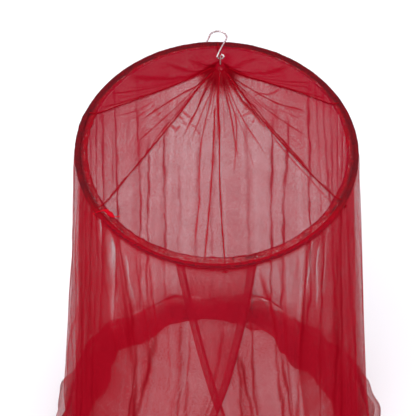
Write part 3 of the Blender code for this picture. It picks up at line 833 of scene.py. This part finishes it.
crown = {
    "seams": [3.5, 62.6, 115.0, 180.0, 252.0, 303.0],
    # degrees that each seam has sagged aside at these shares of the slant
    "swayShares": (0.12, 0.3, 0.6, 1.0),
    "sways": [
        (-7, -3.2, -2, 0), (-9, -7.5, -4, 0), (-12, -4, 0, 0), (0, 0, 0, 0), (7, 5.5, 2, 0),
        (-5, 0.3, 0.3, 0),
    ],
    "top": 0.268,
    "topRadius": 0.0085,
    "footRadius": 0.2742,
    "footHeight": 0.0077,
    "tuck": (0.0045, -0.0007),  # the gores' lower edge runs this much further out, onto the strip, and down
    "sag": 0.013,
    "columns": 210,
    "rows": 92,
    "pleats": [17, 24, 19, 19, 24, 22],  # to each gore
    "pleatDepth": 0.0024,
    # metres turned under along each gore's two seams; on the way under, share of that and widths in one
    "allowances": [
        (0.0015, 0.0015), (0.0046, 0.0018), (0.0018, 0.0015), (0.0015, 0.0018), (0.0018, 0.0046),
        (0.0015, 0.0015),
    ],
    "turned": [(0.15, 1.6), (0.6, 0.8), (1.0, 3.0)],
    "seamGap": 0.00005,
    "turnings": 0.01,  # metres added to each flat size for the seams and edges
    "wedge": 0.62,  # share of its flat width x length that a gore is cut to
    "fullness": 11.0,  # widths of net gathered into one at the neck
    "fullReach": [0.15, 0.15, 0.25, 0.28, 0.16, 0.15],
    "backFull": [1, 1.15, 1.45, 1.5, 1.15, 1],  # the gores at the back hang slacker
    "longPleats": [0.25, 0.25, 0.9, 0.9, 0.3, 0.25],
    "seed": 11,
    "bellPerMm": 1 / 870,
    "lineRelief": 0.0007,  # how far out a gather stands for each width of net in it
    "lineGather": 1.4,  # times the widths that a gather's row gives
    "ridgeGather": 3.4,  # widths added along each pleat's ridge
    "puckerDepth": 0.0011,
    # long gathers: half width in mm, widths of net added, azimuth and share of the slant from end to end
    "gathers": [
        (1.7, 2.4, [(282, 0.08), (277.4, 0.185), (272.6, 0.258), (271.7, 0.41), (272.9, 0.6)]),
        (1.7, 2.2, [(279, 0.08), (280.4, 0.18), (285.8, 0.279), (287.6, 0.428), (289.2, 0.7)]),
        (1.2, 1.2, [(294, 0.12), (292.6, 0.194), (292.4, 0.32)]),
        (1.9, 2.8, [(290, 0.1), (292.7, 0.169), (298.6, 0.269), (299.4, 0.429), (301, 0.57)]),
        (1.8, 2.6, [(309, 0.07), (313.9, 0.147), (316.5, 0.186), (319.1, 0.248), (319.6, 0.347),
            (320.6, 0.43)]),
        (1.3, 1.7, [(328, 0.07), (330.1, 0.146), (328.7, 0.214), (329.4, 0.337), (331.1, 0.44)]),
        (1.5, 1.8, [(335.6, 0.07), (338.3, 0.16), (339.1, 0.244), (340.9, 0.38), (343.9, 0.49),
            (349.5, 0.7), (350.4, 1.0)]),
        (1.2, 1.3, [(345, 0.07), (346.5, 0.18), (346.8, 0.28)]),
        (1.7, 2.6, [(352, 0.22), (354.2, 0.309), (355.5, 0.48), (355.7, 0.69), (355.2, 1.1)]),
        (2.2, 2.2, [(352, 0.07), (356.7, 0.174), (0.3, 0.308), (1.2, 0.44)]),
        (1.2, 0.7, [(7.0, 0.1), (7.8, 0.195), (6.0, 0.4)]),
        (1.6, 2.0, [(14, 0.06), (17.5, 0.083), (19.2, 0.146), (20.3, 0.223), (17.8, 0.379), (18.0, 0.52)]),
        (1.6, 1.9, [(22, 0.07), (24.4, 0.097), (27.4, 0.218), (27.4, 0.269), (16.8, 0.432), (11.1, 0.58)]),
        (1.3, 1.7, [(30, 0.07), (33.2, 0.105), (34.1, 0.195), (36.0, 0.266), (40.8, 0.451), (41.8, 0.54)]),
        (1.2, 0.8, [(30.5, 0.26), (30.9, 0.373), (29.6, 0.469), (28.7, 0.6)]),
        (2.4, 3.4, [(46, 0.07), (47.2, 0.109), (47.8, 0.194), (52.5, 0.283), (53.6, 0.37), (55.2, 0.44)]),
        (2.4, 3.2, [(58, 0.07), (60.9, 0.119), (57.2, 0.216), (60.5, 0.29), (59.2, 0.4), (60.4, 0.55),
            (61.4, 0.8)]),
        (1.3, 1.4, [(55.2, 0.48), (56.4, 0.65), (57.9, 0.769), (59.1, 1.02)]),
        (1.3, 1.7, [(54, 0.11), (57.3, 0.146), (62.5, 0.203), (66.0, 0.32)]),
        (1.5, 2.2, [(66, 0.07), (70.9, 0.101), (76.2, 0.225), (76.0, 0.318), (78.3, 0.445), (81.5, 0.7)]),
        (1.5, 2.2, [(78, 0.07), (84.8, 0.136), (89.8, 0.218), (92.6, 0.352), (94.1, 0.44), (102.8, 0.7)]),
        (1.3, 0.9, [(262.5, 0.5), (263.4, 0.596), (262.1, 0.679), (258.3, 0.85)]),
        (1.2, 0.8, [(267.2, 0.5), (268.3, 0.59), (266.7, 0.73)]),
        (1.2, 1.2, [(278.0, 0.44), (278.8, 0.499), (280.8, 0.56)]),
        (2.2, 2.2, [(256, 0.08), (256.5, 0.2), (254.6, 0.35), (252.0, 0.6), (248.5, 1.0)]),
        (1.8, 1.2, [(252, 0.1), (251.5, 0.25), (249.0, 0.5), (244.5, 0.9)]),
        (1.8, 0.9, [(243, 0.08), (244, 0.2), (241, 0.5), (236, 0.9)]),
        (2.2, 1.0, [(232, 0.07), (230, 0.15), (222, 0.32)]),
        (2.0, 0.9, [(214, 0.07), (211, 0.16), (204, 0.3)]),
        (2.2, 2.2, [(100, 0.1), (107, 0.2), (112.6, 0.32), (116.6, 0.55), (118.6, 1.0)]),
        (1.8, 1.2, [(104, 0.08), (112, 0.18), (117.5, 0.32), (122.0, 0.55), (125.5, 0.9)]),
        (2.6, 2.6, [(156, 0.06), (150, 0.11), (128.8, 0.218), (128.1, 0.3)]),
        (1.8, 0.8, [(128.1, 0.25), (131, 0.45), (137, 0.8)]),
        (2.0, 0.9, [(166, 0.07), (163, 0.16), (152, 0.32)]),
        (9.0, 0.9, [(238, 0.1), (236, 0.3), (230, 0.6), (226, 1.0)]),
        (6.0, 0.8, [(226, 0.08), (222, 0.25), (214, 0.5), (210, 0.8)]),
        (8.0, 0.7, [(206, 0.1), (202, 0.3), (199, 0.7)]),
        (3.0, 1.2, [(246, 0.1), (246, 0.3), (243, 0.6), (239, 1.0)]),
        (7.0, 0.9, [(134, 0.1), (138, 0.3), (140, 0.6), (146, 1.0)]),
        (6.0, 0.7, [(150, 0.08), (155, 0.25), (160, 0.55), (158, 0.9)]),
        (9.0, 0.6, [(172, 0.1), (171, 0.3), (176, 0.8)]),
        (3.0, 1.0, [(122, 0.1), (124, 0.3), (127, 0.6), (131, 1.0)]),
    ],
    # short puckers that run off the seams: half width in mm, widths added, two or more places
    "puckers": [
        (1.5, 1.6, [(305.5, 0.296), (316.0, 0.303)]),
        (1.5, 1.7, [(304.0, 0.328), (310.0, 0.337), (316.0, 0.343)]),
        (1.3, 1.2, [(320.5, 0.326), (329.6, 0.338), (336.0, 0.356)]),
        (1.5, 1.9, [(304.0, 0.398), (311.0, 0.405), (311.3, 0.377)]),
        (2.2, 1.2, [(304.5, 0.44), (306.5, 0.455)]), (1.4, 1.0, [(305.0, 0.5), (308.5, 0.54)]),
        (1.4, 1.4, [(39.6, 0.28), (50.5, 0.277)]), (1.3, 1.0, [(41.5, 0.255), (49.0, 0.242)]),
        (1.6, 1.2, [(46.0, 0.335), (52.5, 0.318)]),
        (1.3, 1.3, [(84.4, 0.268), (93.7, 0.308), (98.7, 0.368), (109.4, 0.46)]),
        (1.3, 0.9, [(260.3, 0.505), (265.1, 0.498), (272.1, 0.479), (279.3, 0.452)]),
        (1.2, 0.8, [(284.9, 0.549), (285.4, 0.6)]), (1.6, 0.7, [(89.0, 0.466), (91.9, 0.607)]),
        (1.6, 0.6, [(95.0, 0.52), (98.0, 0.63)]), (1.6, 0.6, [(99.7, 0.586), (99.9, 0.671)]),
        (1.5, 0.8, [(68.0, 0.245), (72.0, 0.29), (71.0, 0.33)]),
        (1.5, 0.7, [(82.0, 0.3), (81.0, 0.37), (83.5, 0.42)]),
    ],
}
crown["slope"] = math.atan2(crown["top"] - crown["footHeight"], crown["footRadius"] - crown["topRadius"])
crown["slant"] = math.hypot(crown["top"] - crown["footHeight"], crown["footRadius"] - crown["topRadius"])


def crownRadius(share):
    return crown["topRadius"] + (crown["footRadius"] - crown["topRadius"]) * share


def crownPoint(azimuth, share, inward):
    z = crown["top"] + (crown["footHeight"] - crown["top"]) * share
    radius = crownRadius(share) - inward * math.sin(crown["slope"])
    z = z - inward * math.cos(crown["slope"])
    return around(azimuth, radius, place["hoopZ"] + z, place["apexX"] * (1 - share))


def seamAzimuth(number, share):
    index = (number - 1) % len(crown["seams"])
    turns = (number - 1) // len(crown["seams"])
    return crown["seams"][index] + 360 * turns + np.interp(share, crown["swayShares"], crown["sways"][index])


def gatherLines(azimuth, share):
    # how many widths the long gathers add at places on the crown
    added = np.zeros_like(azimuth)
    for half, widths, line in crown["gathers"]:
        places = np.array(line, dtype=float)
        places[:, 0] = np.degrees(np.unwrap(np.radians(places[:, 0])))
        (start, first), (_, last) = places[0], places[-1]
        middle = np.interp(share, places[:, 1], places[:, 0])
        metres = np.radians(turnFrom(azimuth, middle)) * crownRadius(share)
        ends = smoothStep((share - first) / 0.03 + 1) * (1 - smoothStep((share - last + 0.14) / 0.14))
        swell = half * crown["bellPerMm"] * (0.85 + 0.2 * math.sin(share * 45 + 3 * half + start))
        added = added + widths * ends * bell(metres, swell)
    return added


def puckerLines(azimuth, share):
    # the same for the short puckers: each place counts for the nearest stretch of the line
    added = np.zeros_like(azimuth)
    for half, widths, line in crown["puckers"]:
        strongest = np.zeros_like(azimuth)
        for (a, shareA), (b, shareB) in zip(line, line[1:]):
            radius = crownRadius((shareA + shareB) / 2)
            along = np.array([math.radians(b - a) * radius, (shareB - shareA) * crown["slant"]])
            offX, offY = np.radians(turnFrom(azimuth, a)) * radius, (share - shareA) * crown["slant"]
            t = np.clip((offX * along[0] + offY * along[1]) / along.dot(along), 0, 1)
            distance = np.hypot(offX - t * along[0], offY - t * along[1])
            strongest = np.maximum(strongest, bell(distance, half / 1000))
        added = added + widths * strongest
    return added


def pleatLength(rng, far):
    # share of the slant: short, middling or long
    return rng.choice((rng.uniform(0.12, 0.2), rng.uniform(0.18, 0.3), rng.uniform(0.28, 0.3 + 0.5 * far)))


def gorePoints(number, rng, shares):
    # the pleated cloth between two seams, with its widths of net in one
    across = np.linspace(0, 1, crown["columns"])
    arch = np.sin(math.pi * across)
    names = ("pleats", "longPleats", "fullReach", "backFull")
    pleats, far, reach, back = (crown[name][number - 1] for name in names)
    marks = np.arange(pleats + 1)
    lengths = np.interp(across * pleats, marks, [pleatLength(rng, far) for _ in marks])
    shift = np.interp(across * pleats, marks, [rng.uniform(-0.35, 0.35) for _ in marks])
    theta = 2 * math.pi * (across * pleats + shift * arch)
    ridge = np.clip(np.abs(np.cos(theta / 2)) - 0.84, 0, 1) / 0.16
    rows, gather = [], []
    for share in shares:
        radius = crownRadius(share)
        margin = math.degrees(crown["seamGap"] / radius)
        start, end = seamAzimuth(number, share) + margin, seamAzimuth(number + 1, share) - margin
        width = end - start
        strength = smoothStep(share / 0.07) * (1 - smoothStep(share / lengths)) * arch ** 0.3
        depth = min(crown["pleatDepth"], 0.28 * radius * math.radians(width / pleats)) * strength
        azimuth = start + width * across - 0.34 * width / pleats * np.sin(2 * theta) * strength
        lines = gatherLines(azimuth, share) + puckerLines(azimuth, share)
        aside = np.minimum(across, 1 - across) * radius * math.radians(width)
        pucker = crown["puckerDepth"] * np.exp(-aside / 0.009) * np.sin(share * 120 + number + 9 * across)
        fade = smoothStep(share / 0.15) * (1 - 0.5 * ramp(share, 0.5, 0.4))
        inward = crown["sag"] * arch * math.sin(math.pi * share ** 0.7) + depth * np.cos(theta)
        inward = inward + pucker * fade * smoothStep(aside / 0.002)
        inward = inward - crown["lineRelief"] * lines * smoothStep(aside / 0.004)
        rows.append(crownPoint(azimuth, share, inward))
        full = back * (1 + (crown["fullness"] - 1) * (1 - smoothStep(share / reach)) ** 1.1)
        gather.append(full + crown["ridgeGather"] * strength * ridge + crown["lineGather"] * lines)
    return np.array(rows), np.array(gather)


def turnAllowances(number, rng, points, gather, shares):
    # seam allowances turned under at both sides, uneven in width
    knots = np.linspace(0, 1, 26)
    wander = np.interp(shares, knots, [rng.uniform(0.45, 1.5) for _ in knots])
    for edge, near, allowance in zip((0, -1), (3, -4), crown["allowances"][number - 1]):
        rim = points[:, edge]
        inwards = points[:, near] - rim
        inwards /= lengthwise(inwards)
        strip = []
        for part, _ in crown["turned"]:
            width = allowance * part * (0.25 + 0.75 * smoothStep(shares / 0.12)) * wander
            drop = 0.0006 + 0.0007 * part * (1 + 0.6 * np.sin(shares * 140 + number))
            strip.append(rim + inwards * width[:, None] - drop[:, None] * (0, 0, 1))
        widths = [full for _, full in crown["turned"]]
        points = joinStrip(points, np.stack(strip, axis=1), edge)
        gather = joinStrip(gather, np.tile([widths], (len(points), 1)), edge)
    return points, gather


def addGore(number):
    rng = random.Random(crown["seed"] + number)
    shares = np.linspace(0, 1, crown["rows"]) ** 1.3
    points, gather = gorePoints(number, rng, shares)
    # the lower edge lies on the strip
    out, down = crown["tuck"]
    last = points[-1]
    outwards = last * (1, 1, 0) / lengthwise(last[:, :2])
    points = np.concatenate([points, [last + outwards * out + (0, 0, down)]])
    gather = np.concatenate([gather, gather[-1:]])
    points, gather = turnAllowances(number, rng, points, gather, np.append(shares, 1.0))
    gore = addSheet(f"crownNet_{number}", points, clothSizes(points), "crownNet", gather)
    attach(gore, "root")
    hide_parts(f"crown_gore_{number}")


for number in range(1, len(crown["seams"]) + 1):
    addGore(number)
print("crown hung")

# casing

casing = {
    "wrap": 0.0056,  # from the tube's middle
    "angles": [135, 110, 85, 60, 35, 10, -15, -40, -65, -90, -115, -140, -165, -185],
    "strip": 0.015,
    "frontNarrower": 0.1,  # share of the strip's width
    "rise": 12.0,  # degrees that the strip rises inwards
    # rows of the strip from its turned-under hem outwards: metres in from its inner edge, share of the
    # strip's width, height, widths of cloth in one
    "rows": [
        (0.0028, 1.0, -0.0014, 0.5), (0.0012, 1.0, -0.0012, 0.6), (-0.0002, 1.0, -0.0005, 0.8),
        (0.0008, 1.0, 0.0001, 1.3), (0.0026, 1.0, 0.0002, 2.4), (0.0034, 1.0, 0.0000, 2.8),
        (0.0, 0.66, 0.0, 2.8), (0.0, 0.54, 0.0, 2.9), (0.0, 0.42, 0.0, 3.0), (0.0, 0.3, 0.0, 3.1),
        (0.0, 0.18, 0.0, 3.1), (0.0, 0.07, 0.0, 3.3),
    ],
    # azimuth, how full the strip's cloth is
    "stripFullness": [
        (0, 1.15), (7, 1.15), (10, 1.7), (19, 1.6), (24, 1.3), (28, 1.0), (37, 0.95), (42, 1.6), (60, 1.8),
        (90, 1.9), (150, 1.3), (210, 1.3), (250, 1.7), (300, 1.9), (330, 1.8), (338, 1.3), (343, 1.15),
        (360, 1.15),
    ],
    # azimuth and share of the width, half width in degrees and in shares, widths of cloth added
    "creases": [
        (7.0, 0.62, 0.35, 2.0, 5.0), (12.0, 0.35, 3.6, 0.22, 2.2), (16.5, 0.6, 1.2, 0.3, 1.6),
        (21.0, 0.22, 4.0, 0.16, 2.4), (26.5, 0.85, 3.4, 0.14, 1.4), (31.5, 0.3, 2.4, 0.2, 1.6),
        (40.0, 0.5, 1.6, 0.6, 1.8), (48.0, 0.4, 3.0, 0.3, 1.4), (354.5, 0.25, 3.0, 0.18, 1.6),
        (349.0, 0.8, 2.0, 0.16, 1.2), (343.0, 0.45, 1.1, 0.6, 1.2), (334.0, 0.65, 2.6, 0.25, 1.6),
        (326.0, 0.35, 3.2, 0.3, 1.6), (317.0, 0.6, 2.0, 0.3, 1.4),
    ],
    "columns": 900,
    "seed": 5,
    # crumples: how many, waves to a turn, size, lean for each row
    "waves": [(26, (8, 70), (0.25, 0.9), 0.9), (10, (90, 190), (0.3, 0.7), 2.2)],
    # azimuth, width in degrees, height: places where the sleeve is bunched up, and its slack sides
    "bunches": [
        (257, 4, 0.0095), (268, 5, 0.0045), (281, 6, 0.003), (66, 3, 0.0016), (292, 5, 0.002),
        (96, 6, 0.002),
    ],
    "looseSides": [(268, 30, 0.003), (92, 30, 0.0014)],
    "bunchGather": 120,  # widths added for each metre of a bunch's height, and how much painted glow it gets
    "bunchPaintedGlow": 60,
    "crumples": (0.0009, 0.0006, 0.0004),  # in the strip's width, in its height and round the tube
    "wound": 2.6,  # widths added on the strip next to the tube, away from the front, so it takes the darkest tone there: painted shade from the tube and its turns
    "tubeGather": 5.5,  # widths round the tube, away from the front
    # azimuth, how much painted glow the strip gets, where light comes through it
    "stripPaintedGlow": [
        (0, 0.1), (30, 0.1), (45, 0.3), (110, 0.3), (130, 0.0), (230, 0.0), (245, 0.25), (300, 0.4),
        (330, 0.4), (345, 0.1), (360, 0.1),
    ],
    "flat": (1.86, 0.049),
}


def roundTube(azimuth, reach, a):
    # a place so far from the tube's middle, at an angle in radians up from its outer side
    return around(azimuth, place["hoopRadius"] + reach * math.cos(a), place["hoopZ"] + reach * math.sin(a))


def crumpleWaves():
    rng = random.Random(casing["seed"])
    waves = []
    for amount, counts, sizes, lean in casing["waves"]:
        for _ in range(amount):
            count, phase = rng.randint(*counts), rng.uniform(0, 6.28)
            waves.append((count, phase, rng.uniform(*sizes), rng.uniform(-lean, lean)))
    return waves


def addCasing():
    azimuths = np.linspace(0, 360, casing["columns"] + 1)
    angle = np.radians(azimuths)
    waves = crumpleWaves()

    def crumple(row):
        # soft lumps that lean as they cross the sleeve
        lumps = (size * np.sin(angle * count + phase + lean * row) for count, phase, size, lean in waves)
        return sum(lumps) / 4

    bunch = np.zeros_like(azimuths)
    for centre, width, height in casing["bunches"]:
        bunch += height * bell(azimuths - centre, width) * (0.75 + 0.25 * np.sin(azimuths * 0.9))
    loose = sum(height * bell(azimuths - centre, width) for centre, width, height in casing["looseSides"])
    front = ramp(np.cos(angle), 0.35, 0.4)
    lit, slack = (readTable(casing[name], azimuths)[0] for name in ("stripPaintedGlow", "stripFullness"))
    rise, lift = math.radians(casing["rise"]), math.radians(casing["angles"][0])
    footRadius = place["hoopRadius"] + casing["wrap"] * math.cos(lift)
    footZ = place["hoopZ"] + casing["wrap"] * math.sin(lift)
    flatwise, upright, coiled = casing["crumples"]
    rows, gather, paintedGlow = [], [], []
    for index, (inset, share, height, full) in enumerate(casing["rows"]):
        rim = min(1, share * 1.2)
        out = casing["strip"] * (1 - casing["frontNarrower"] * front) * share - inset
        out = out + (flatwise * crumple(0.5 * index) + bunch * 0.5) * rim
        bulge = upright * crumple(index + 2) * math.sin(math.pi * min(share, 0.9)) + bunch * 0.7 * rim
        z = footZ + out * math.sin(rise) + height + bulge
        rows.append(around(azimuths, footRadius - out * math.cos(rise), z))
        full = full * slack ** rim * (1 + 0.35 * crumple(index))
        for centre, level, wide, high, added in casing["creases"]:
            full = full + added * rim * bell(turnFrom(azimuths, centre), wide) * bell(share - level, high)
        # painted shade: the strip darkens next to the tube
        wound = casing["wound"] * smoothStep((0.55 - share) / 0.25) * (1 - front)
        gather.append(full + wound + casing["bunchGather"] * bunch)
        # painted glow on the strip and its bunches
        paintedGlow.append(lit * ramp(share, 0.1, 0.3) + casing["bunchPaintedGlow"] * bunch)
    for index, degrees in enumerate(casing["angles"]):
        a = math.radians(degrees)
        swell = casing["wrap"] + coiled * crumple(index) * math.cos(index * 1.7)
        swell = swell + 0.6 * bunch * max(0, math.cos(a - 1.6)) + loose * max(0, math.cos(a))
        rows.append(roundTube(azimuths, swell, a))
        # at the front the sleeve is thin over the tube's upper side, and denser to both sides of that
        thin = 0.65 + 2.0 * ramp(abs(degrees - 36), 14, 34) + 3.0 * smoothStep((5 - degrees) / 30)
        gather.append((casing["tubeGather"] + 0.5 * crumple(index)) * (1 - front) + thin * front)
        # painted highlight: the sleeve over the tube's upper side is lighter at the front
        paintedGlow.append(0.3 * front * ramp(degrees, 5, 40))
    points = np.array(rows)
    points[:, -1] = points[:, 0]
    gather, paintedGlow = np.clip(gather, 0.3, 6), np.clip(paintedGlow, 0, 1)
    sleeve = addSheet("casingSleeve", points, clothSizes(points), "casingNet", gather, paintedGlow, closed=True)
    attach(sleeve, "root")
    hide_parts("casing")


addCasing()
for node, look in (("hoop", "darkTube"), ("hook", "polishedNickel"), ("apex_ring", "redReflectionNickel")):
    solid = bpy.data.objects[node]
    solid.data.materials.clear()
    solid.data.materials.append(materials[look])
print("casing, hoop and hook done")

# cords and knots

cords = {
    "radius": 0.001,
    "knotRadius": 0.0008,
    "clear": 0.0018,
    "step": 0.0015,
    "knotStep": 0.0008,
    "shares": (0.03, 0.12, 0.2, 0.3, 0.45, 0.6, 0.8, 0.97),  # of the slant
    "wrap": 0.0021,  # over the sleeve
    "over": 118,  # degrees round the sleeve at the cord's end
    # out from the sleeve, below the hoop's middle, size, where its loop starts in radians
    "knot": (0.0018, 0.01, 0.00115, 0.35),
    # the last cord's end is bunched up over the strip: degrees from its seam, radius and height from the
    # hoop's middle, thickness
    "lump": [
        (0.8, 0.299, 0.001, 0.0008), (1.6, 0.297, 0.0062, 0.001), (2.4, 0.289, 0.0092, 0.001),
        (3.4, 0.2835, 0.0125, 0.0026), (4.6, 0.2822, 0.0145, 0.0048), (5.6, 0.2828, 0.015, 0.004),
        (6.8, 0.2812, 0.015, 0.0052), (8.0, 0.2806, 0.0142, 0.0034), (8.7, 0.278, 0.013, 0.0011),
        (9.1, 0.274, 0.0124, 0.0008), (9.5, 0.2705, 0.012, 0.0009), (9.8, 0.268, 0.0116, 0.0016),
    ],
    # for each knot: length of its two free ends, how far they turn
    "ends": [
        (0.007, 0.005, -70), (0.012, 0.008, -60), (0.004, 0.004, -80), (0.004, 0.004, -80),
        (0.004, 0.004, -80), (0.012, 0.009, -60),
    ],
}


def cordRoute(number):
    azimuth = crown["seams"][number - 1]
    route = [crownPoint(seamAzimuth(number, share), share, -cords["clear"]) for share in cords["shares"]]
    return [*route, roundTube(azimuth, casing["wrap"] + cords["wrap"], math.radians(cords["over"]))]


def knotRoute(azimuth, lump, firstEnd, secondEnd, turn):
    # a small overhand knot outside the hoop, with its two free ends
    outward = around(azimuth, 1.0, 0.0)
    sideways = np.array([-outward[1], outward[0], 0.0])
    upward = np.array([0, 0, 1.0])
    out, low, size, gap = cords["knot"]
    centre = around(azimuth, place["hoopRadius"] + casing["wrap"] + out, place["hoopZ"] - low)
    loop = []
    for v in np.linspace(gap, math.tau - gap, 30):
        aside, above = math.sin(v) + 2 * math.sin(2 * v), math.cos(v) - 2 * math.cos(2 * v)
        loop.append(centre + size * (aside * sideways + above * upward - 0.9 * math.sin(3 * v) * outward))
    lean = math.radians(turn)
    first = math.cos(lean) * sideways + math.sin(lean) * upward
    second = -math.cos(lean * 0.6) * sideways - math.sin(lean * 0.6 + 0.5) * upward
    head = [loop[0] + (first * firstEnd + outward * 0.0012) * share for share in (1.0, 0.6, 0.3)]
    tail = [loop[-1] + second * secondEnd * share - upward * 0.002 * share ** 2 for share in (0.3, 0.6, 1.0)]
    if lump:
        tail = []
    route = [(*point, cords["knotRadius"]) for point in (*head, *loop, *tail)]
    for turned, radius, lift, thick in lump:
        route.append((*around(azimuth + turned, radius, place["hoopZ"] + lift), thick))
    return route


for number, azimuth in enumerate(crown["seams"], 1):
    route = smoothRoute(cordRoute(number), cords["step"])
    cord = addTube(f"seamCord_{number}", route, cords["radius"], "twistedCord", twist=0.14)
    wound = knotRoute(azimuth, cords["lump"] if number == 6 else [], *cords["ends"][number - 1])
    look = "looseCord" if number in (4, 6) else "twistedCord"
    knot = addTube(f"tiedKnot_{number}", smoothRoute(wound, cords["knotStep"]), cords["knotRadius"], look)
    for piece, node in ((cord, f"cord_{number}"), (knot, f"knot_{number}")):
        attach(piece, "root")
        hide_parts(node)
print("cords strung")

# gathered neck

neck = {
    # radius and height above the crown's upper edge
    "profile": [
        (0.0052, -0.004), (0.0078, -0.002), (0.0086, 0.0002), (0.009, 0.0016), (0.0076, 0.0036),
        (0.0062, 0.0054), (0.007, 0.0072), (0.0044, 0.0092), (0.0006, 0.0096),
    ],
    "pleats": 19,
    "depth": 0.13,
    "columns": 160,
    "step": 0.0009,
    "seed": 3,
    "flat": (0.066, 0.02),
}


def addNeck():
    turn = np.linspace(0, 360, neck["columns"] + 1)
    profile = smoothRoute([(r, z, 0) for r, z in neck["profile"]], neck["step"])
    rng = random.Random(neck["seed"])
    phases = [rng.uniform(0, 6.28) for _ in range(3)]
    rows = []
    for radius, z, _ in profile:
        ripple = 0
        for order, phase in enumerate(phases):
            count = neck["pleats"] + 4 * order
            ripple = ripple + np.cos(np.radians(turn) * count + phase + z * 160 * (order - 1)) / (order + 1)
        rippled = radius * (1 + neck["depth"] * ripple / 1.8)
        rows.append(around(turn, rippled, place["neckZ"] + z, place["apexX"]))
    points = np.array(rows)[::-1]
    points[:, -1] = points[:, 0]
    tuft = addSheet("neckTuft", points, clothSizes(points), "tuftNet", closed=True)
    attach(tuft, "root")
    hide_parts("neck")


addNeck()
print("neck gathered")
